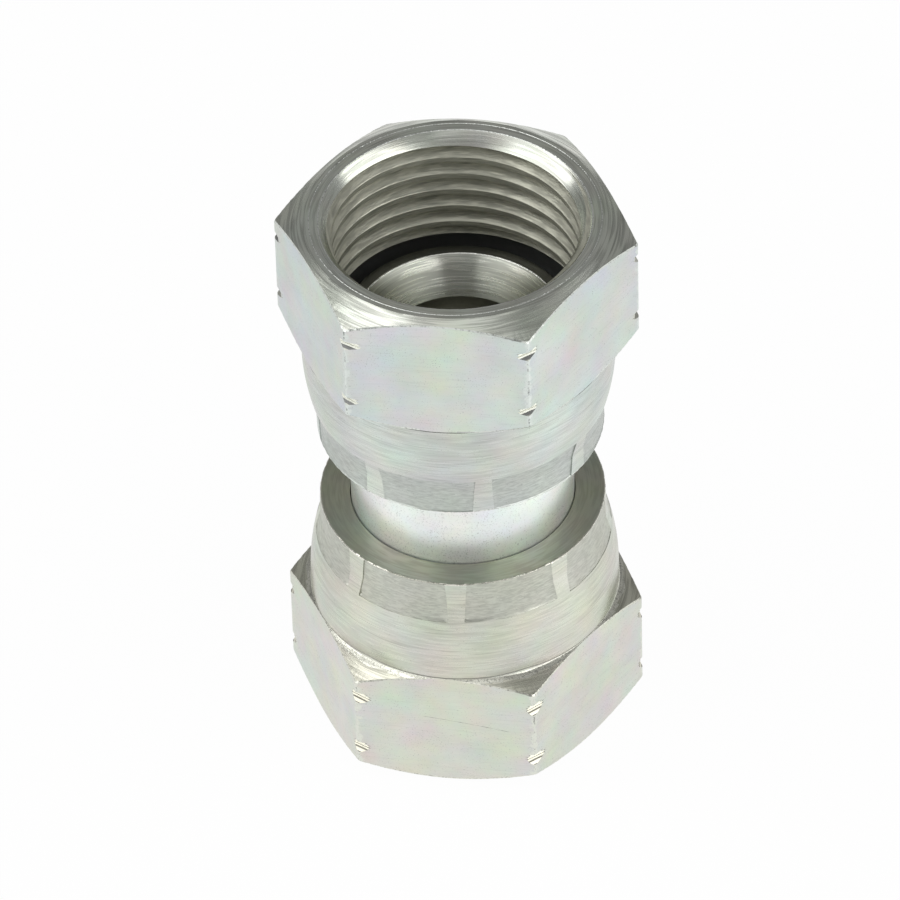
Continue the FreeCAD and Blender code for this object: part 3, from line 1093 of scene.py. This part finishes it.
    def nick(self, depth: float, corner: int) -> Shell:
        """A nick that gripping teeth pressed across a hexagon corner, longer on its right from outside.

        Args:
            depth: depth of the nick's middle from the mouth face.
            corner: number of the corner.

        Returns:
            The closed cutting shell.
        """
        upright = -1.0 if self.turned_over else 1.0
        profile = self.nick_outline(self.nick_depth * self.rng.uniform(*self.nick_spread))
        shell = bmesh.new()
        side = 3.0
        face = shell.faces.new([shell.verts.new((-cut, -side, upright * rise)) for cut, rise in profile])
        ends = only(bmesh.types.BMVert, bmesh.ops.extrude_face_region(shell, geom=[face])["geom"])
        bmesh.ops.translate(shell, verts=ends, vec=(0.0, 2.0 * side, 0.0))
        outward(coated(shell, Zone.NICK))
        for steep in (face for face in shell.faces if abs(face.normal.z) > STEEP_TILT):
            steep.material_index = NUT_ZONES.index(Zone.HOLLOW)
        tilt = rotation(self.rng.uniform(-self.nick_tilt, self.nick_tilt), "X")
        twist = rotation(upright * self.rng.uniform(*self.nick_twist), "Z")
        aside = self.rng.uniform(-self.nick_aside, self.nick_aside)
        along = depth + self.rng.uniform(-self.nick_along, self.nick_along)
        spot = Matrix.Translation((self.corner_radius, aside, along))
        return moved(shell, Matrix.Rotation(FULL_TURN * corner / SIDES, 4, "Z") @ spot @ twist @ tilt)

    def score(self) -> Shell:
        """A long, fine and slightly bowed score that falls to the right across the flat facing -Y."""
        half = self.score_width / 2.0
        ring = [(self.score_radius - half, 0.0), (self.score_radius, -self.score_depth),
                (self.score_radius + half, 0.0), (self.score_radius, self.score_depth)]
        sweep = self.score_length / self.score_radius
        middle = math.radians(90.0 - self.score_fall)
        shell = spun(ring, self.score_steps, sweep, middle - sweep / 2.0)
        for vertex in shell.verts:
            along = Vector((self.score_rate * vertex.co.x, 0.0, 0.0))
            strength = self.score_least + self.score_gain * abs(noise.noise(along))
            reach = off_axis(vertex.co)
            vertex.co.xy *= 1.0 + (strength - 1.0) * (reach - self.score_radius) / reach
            vertex.co.z *= strength
        across, up = self.score_place
        on_arc = self.score_radius * Vector((math.cos(middle), 0.0, math.sin(middle)))
        spot = Vector((across, -self.flat_radius, up)) - on_arc
        return coated(moved(shell, Matrix.Translation(spot) @ rotation(90.0, "X")), Zone.HOLLOW)

    def placing(self) -> Matrix:
        """From the nut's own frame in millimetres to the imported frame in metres."""
        own = rotation(self.turn, "Z")
        if self.turned_over:
            own = Matrix.Translation((0, 0, self.total)) @ rotation(180.0, "X") @ own
        return Matrix.Scale(METRES, 4) @ own

    def build(self, groups: dict[str, bpy.types.NodeTree]) -> bpy.types.Object:
        """Models and dresses the nut.

        Args:
            groups: the shared node groups.

        Returns:
            The piece, riding on its body.
        """
        turn_over = math.pi if self.turned_over else 0.0
        rise = self.total * METRES if self.turned_over else 0.0
        turn = math.radians(self.turn if self.turned_over else -self.turn)
        finisher = Finisher(self.node, (turn_over, turn, rise), 7.3 * self.seed, self.cast, groups)
        materials = finisher.materials(NUT_ZONES)
        blank = spun(self.outline(), self.steps)
        rings = [(self.relief_radius, 0.0), (self.mouth_radius, 0.0), (self.rim_bore_radius, self.length)]
        soften_rings(blank, rings, self.softening)
        soften_rings(blank, [(self.rim_radius, self.length)], self.lip_softening)
        self.plane_hexagon(blank)
        outward(blank)
        paint(blank, NUT_ZONES, self.zone_of)
        self.ruffle(blank)
        low = self.mouth_chamfer + self.nick_setbacks[0]
        high = self.mouth_chamfer + self.corner_edge - self.nick_setbacks[1]
        cutters = [self.tap()]
        cutters += [self.jaw_print(number) for number in range(self.marks)]
        cutters += [self.nick(depth, corner) for depth in (low, high) for corner in range(SIDES)]
        if self.scored:
            cutters.append(self.score())
        shell = carved(blank, joined(cutters), materials)
        piece = finished(shell, f"{self.node}_dressed", self.placing(), materials)
        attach(piece, self.body)
        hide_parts(self.node)
        return piece


@dataclass
class TubeBody:
    """The body with its neck, two collars, two noses with conical seats, and bore, in millimetres."""

    node: str
    body: str
    lowest: float
    highest: float

    nose_radius: float = 11.8
    neck_radius: float = 11.4
    collar_radius: float = 13.0
    collar_setback: float = 3.98
    collar_length: float = 3.8
    collar_slope: float = 30.0
    seat_rim_radius: float = 10.4
    bore_radius: float = 7.75
    seat_angle: float = 37.0
    edge_break: float = 0.3
    softening: float = 0.08
    steps: int = 288
    end_stretch: float = 2.0
    neck_stretch: float = 0.8
    bore_stretch: float = 1.5

    def end(self) -> list[Point]:
        """Outline of one end, from the seat's rim to the neck, as heights above the nose."""
        back = self.collar_setback + self.collar_length
        fall = (self.collar_radius - self.neck_radius) / math.tan(math.radians(self.collar_slope))
        return [(self.seat_rim_radius, 0.0), (self.nose_radius - self.edge_break, 0.0),
                (self.nose_radius, self.edge_break), (self.nose_radius, self.collar_setback),
                (self.collar_radius - self.edge_break, self.collar_setback),
                (self.collar_radius, self.collar_setback + self.edge_break), (self.collar_radius, back),
                (self.neck_radius, back + fall)]

    def zone_of(self, radius: float, height: float, tilt: float, inward: bool) -> Zone:
        """Kind of surface at a place, from its radius, height, axial tilt and whether it faces the axis."""
        from_end = min(height - self.lowest, self.highest - height)
        if abs(radius - self.seat_rim_radius) < 1.2 * self.softening and 0.65 < tilt < 0.99:
            return Zone.LIP
        if inward:
            return Zone.SEAT if tilt > 0.2 else Zone.BORE
        if radius < self.neck_radius + 0.05 and from_end > self.collar_setback + self.collar_length:
            return Zone.NECK
        return Zone.NOSE if from_end < self.edge_break + 0.1 else Zone.HOLLOW

    def build(self, groups: dict[str, bpy.types.NodeTree]) -> bpy.types.Object:
        """Models and dresses the body.

        Args:
            groups: the shared node groups.

        Returns:
            The piece, riding on its body.
        """
        lower = [(radius, self.lowest + height) for radius, height in self.end()]
        upper = [(radius, self.highest - height) for radius, height in reversed(self.end())]
        seat = (self.seat_rim_radius - self.bore_radius) / math.tan(math.radians(self.seat_angle))
        inside = [(self.seat_rim_radius, self.highest), (self.bore_radius, self.highest - seat),
                  (self.bore_radius, self.lowest + seat), (self.seat_rim_radius, self.lowest)]
        neck = stepped([lower[-1], upper[0]], self.neck_stretch)[1:-1]
        outside = stepped(lower, self.end_stretch) + neck + stepped(upper, self.end_stretch)
        shell = spun(outside + stepped(inside, self.bore_stretch)[1:-1], self.steps)
        soften_rings(shell, inside, self.softening)
        outward(shell)
        paint(shell, BODY_ZONES, self.zone_of)
        finisher = Finisher(self.node, (0.0, 0.0, 0.0), 3.1, (1.0, 1.0, 1.0), groups)
        materials = finisher.materials(BODY_ZONES)
        piece = finished(shell, f"{self.node}_dressed", Matrix.Scale(METRES, 4), materials)
        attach(piece, self.body)
        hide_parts(self.node)
        return piece


@dataclass
class Lamp:
    """A soft box, placed round the adapter as the camera sees it.

    Attributes:
        name: the lamp's name.
        azimuth: degrees to the right of the camera's side.
        elevation: degrees above the horizon.
        distance: distance from the adapter, in metres.
        size: width and height, in metres.
        radiance: how bright its face looks, where 1 is white.
    """

    name: str
    azimuth: float
    elevation: float
    distance: float
    size: tuple[float, float]
    radiance: float

    def build(self, target: Vector, facing: float) -> None:
        """Adds the lamp.

        Args:
            target: the point that it shines at.
            facing: direction of the camera's side round Z, in degrees.
        """
        around = math.radians(facing + self.azimuth)
        up = math.radians(self.elevation)
        back = Vector((math.sin(around) * math.cos(up), -math.cos(around) * math.cos(up), math.sin(up)))
        data = bpy.data.lights.new(self.name, "AREA")
        data.shape = "RECTANGLE"
        data.size, data.size_y = self.size
        data.energy = self.radiance * math.pi * self.size[0] * self.size[1]
        lamp = linked(self.name, data)
        lamp.location = target + back * self.distance
        lamp.rotation_mode = "QUATERNION"
        lamp.rotation_quaternion = back.to_track_quat("Z", "Y")


@dataclass
class Studio:
    """White floor, plain surroundings, soft boxes and the photograph's camera.

    What the adapter mirrors of the floor is a little darker to the left, and brighter in a pool before each
    soft box.
    """

    floor_half_size: float = 3.0
    shade_seen: float = 0.03
    shade_mirrored: float = 0.10
    shade_left: float = 0.55
    shade_ends: Point = (-0.12, 0.02)
    pool_gain: float = 0.30
    pool_reach: float = 0.042
    pool_side: float = 0.056
    pool_front: float = 0.028
    surroundings: float = 0.30
    camera_facing: float = 8.214
    camera_yaw: float = -0.095
    camera_pitch: float = 42.106
    camera_roll: float = -1.670
    camera_back: float = 0.71672
    camera_height: float = 0.67932
    camera_lens: float = 380.38
    lamps: list[Lamp] = field(default_factory=lambda: [
        Lamp("soft_box_right", 62.0, 28.0, 0.9, (1.26, 0.72), 1.85),
        Lamp("soft_box_left", -70.0, 28.0, 0.9, (1.36, 0.72), 1.6),
        Lamp("soft_box_overhead", -86.0, 62.0, 0.9, (0.45, 0.30), 1.4),
        Lamp("ceiling", -20.0, 80.0, 0.9, (0.60, 0.60), 0.50),
    ])

    def floor(self) -> None:
        """Lays a white floor that keeps the adapter's soft shadow."""
        material = bpy.data.materials.new("floor")
        sheet = emptied(material)
        seen = sheet.add("ShaderNodeLightPath").outputs
        direct = sheet.math("MULTIPLY", seen["Is Camera Ray"], 1.0 - self.shade_seen)
        place = sheet.add("ShaderNodeTexCoord").outputs["Object"]
        across = sheet.split(place)[0]
        level = sheet.ramp(across, *self.shade_ends, 1.0 - self.shade_left, 1.0 - self.shade_mirrored)
        mirrored = sheet.math("MULTIPLY", seen["Is Glossy Ray"], level)
        facing = rotation(self.camera_facing, "Z")
        lit = 0.0
        for side in (-self.pool_side, self.pool_side):
            middle = facing @ Vector((side, -self.pool_front, 0.0))
            away = sheet.vector("DISTANCE", place, middle)
            lit = sheet.math("ADD", lit, sheet.ramp(away, self.pool_reach, 0.0, 0.0, self.pool_gain))
        strength = sheet.math("MULTIPLY_ADD", seen["Is Glossy Ray"], lit, 1.0)
        glow = sheet.add("ShaderNodeEmission", {"Color": WHITE, "Strength": strength}).outputs[0]
        matt = sheet.add("ShaderNodeBsdfDiffuse", {"Color": (0.9, 0.9, 0.9, 1.0)}).outputs[0]
        share = sheet.math("MAXIMUM", direct, mirrored)
        mixed = sheet.add("ShaderNodeMixShader", {0: share, 1: matt, 2: glow}).outputs[0]
        sheet.add("ShaderNodeOutputMaterial", {"Surface": mixed})
        shell = bmesh.new()
        bmesh.ops.create_grid(shell, x_segments=1, y_segments=1, size=self.floor_half_size)
        floor = solid(shell, "floor", [material])

    def world(self) -> None:
        """Surrounds the set with plain grey that the camera sees as white."""
        world = bpy.data.worlds.new("studio")
        bpy.context.scene.world = world
        sheet = emptied(world)
        seen = sheet.add("ShaderNodeLightPath").outputs["Is Camera Ray"]
        level = sheet.math("MAXIMUM", seen, self.surroundings)
        background = sheet.add("ShaderNodeBackground", {"Color": WHITE, "Strength": level})
        sheet.add("ShaderNodeOutputWorld", {"Surface": background.outputs[0]})

    def camera(self) -> None:
        """Stands the camera where the photograph was taken from."""
        data = bpy.data.cameras.new("camera")
        data.sensor_width = 36.0
        data.lens = self.camera_lens
        data.clip_start = 0.05
        data.clip_end = 20.0
        camera = linked("camera", data)
        facing = rotation(self.camera_facing, "Z")
        camera.location = facing @ Vector((0.0, -self.camera_back, self.camera_height))
        yaw = rotation(-self.camera_yaw, "Z")
        pitch = rotation(90.0 - self.camera_pitch, "X")
        roll = rotation(self.camera_roll, "Z")
        camera.rotation_mode = "QUATERNION"
        camera.rotation_quaternion = (facing @ yaw @ pitch @ roll).to_quaternion()
        bpy.context.scene.camera = camera

    def build(self, target: Vector) -> None:
        """Sets everything up round a target point."""
        self.floor()
        self.world()
        for lamp in self.lamps:
            lamp.build(target, self.camera_facing)
        self.camera()


def main() -> None:
    """Builds the adapter's pieces and its studio in order."""
    logging.basicConfig(level=logging.INFO, format="%(name)s: %(message)s")
    bpy.context.scene.view_settings.view_transform = "Standard"
    trees = (turning_marks_group(), clouded_tint_group(), specks_group(), corner_wear_group())
    groups = {tree.name: tree for tree in trees}
    millimetres = 1.0 / METRES
    upper_low, upper_high = (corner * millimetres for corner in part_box("upper_swivel_nut"))
    body_low, body_high = (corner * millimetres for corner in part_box("tube_body"))
    shared = {"flat_radius": upper_high.y, "length": upper_high.z - upper_low.z, "total": upper_high.z}
    nuts = (
        SwivelNut("lower_swivel_nut", "lower_nut", turned_over=False, turn=-0.55, rib_angle=4.85,
                  nick_setbacks=(1.95, 2.2), nick_teeth=5, nick_height=1.55, nick_depth=0.44, seed=3,
                  cast=(1.025, 1.0, 0.95), scored=True, **shared),
        SwivelNut("upper_swivel_nut", "upper_nut", turned_over=True, turn=0.0, rib_angle=-16.2,
                  nick_setbacks=(1.85, 1.9), nick_teeth=3, nick_height=1.20, nick_depth=0.50, seed=5,
                  cast=(0.985, 1.0, 1.01), scored=False, **shared),
    )
    pieces = [nut.build(groups) for nut in nuts]
    pieces.append(TubeBody("tube_body", "body", body_low.z, body_high.z).build(groups))
    for piece in pieces:
        log.info("dressed %s", piece.name)
    Studio().build(Vector((0.0, 0.0, upper_high.z * METRES / 2.0)))


if __name__ == "__main__":
    main()
